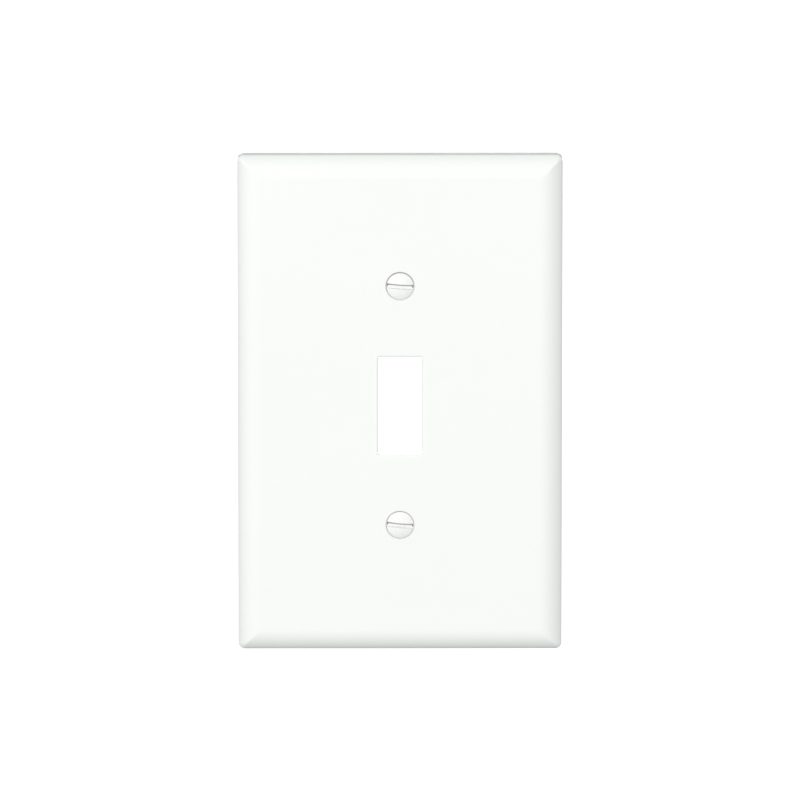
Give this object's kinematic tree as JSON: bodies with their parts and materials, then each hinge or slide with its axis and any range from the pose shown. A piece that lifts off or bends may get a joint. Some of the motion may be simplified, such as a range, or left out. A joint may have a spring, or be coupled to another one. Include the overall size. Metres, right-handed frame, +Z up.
{
  "type": "toggle switch wall plate",
  "caption": "White moulded wall plate with curved bevelled edges, a toggle opening and captive slotted oval-head screws, covering a light switch box.",
  "frame": {"origin": "centre of the plate's back rim, in the plane of the wall", "axes": "+Z up along the plate's height, -Y out of the wall towards the viewer, +X to the viewer's right"},
  "size_m": [0.0798, 0.0136, 0.1248],
  "materials": {
    "plate_plastic": "smooth glossy white",
    "screw_enamel": "white enamelled head on a zinc-plated steel shank",
    "retainer_nylon": "natural nylon, slightly milky"
  },
  "bodies": {
    "plate": {"wall_plate": "plate_plastic"},
    "upper_retainer_body": {"upper_screw_retainer": "retainer_nylon"},
    "upper_screw_body": {"upper_screw": "screw_enamel"},
    "lower_retainer_body": {"lower_screw_retainer": "retainer_nylon"},
    "lower_screw_body": {"lower_screw": "screw_enamel"}
  },
  "joints": [
    {"name": "upper_screw_slide", "type": "slide", "parent": "plate", "child": "upper_retainer_body", "axis": [0, -1, 0], "range_m": [0, 0.00125]},
    {"name": "upper_screw_turn", "type": "hinge", "parent": "upper_retainer_body", "child": "upper_screw_body", "pos_m": [0, 0, 0.03016], "axis": [0, 1, 0], "continuous": true},
    {"name": "lower_screw_slide", "type": "slide", "parent": "plate", "child": "lower_retainer_body", "axis": [0, -1, 0], "range_m": [0, 0.00125]},
    {"name": "lower_screw_turn", "type": "hinge", "parent": "lower_retainer_body", "child": "lower_screw_body", "pos_m": [0, 0, -0.03016], "axis": [0, 1, 0], "continuous": true}
  ]
}
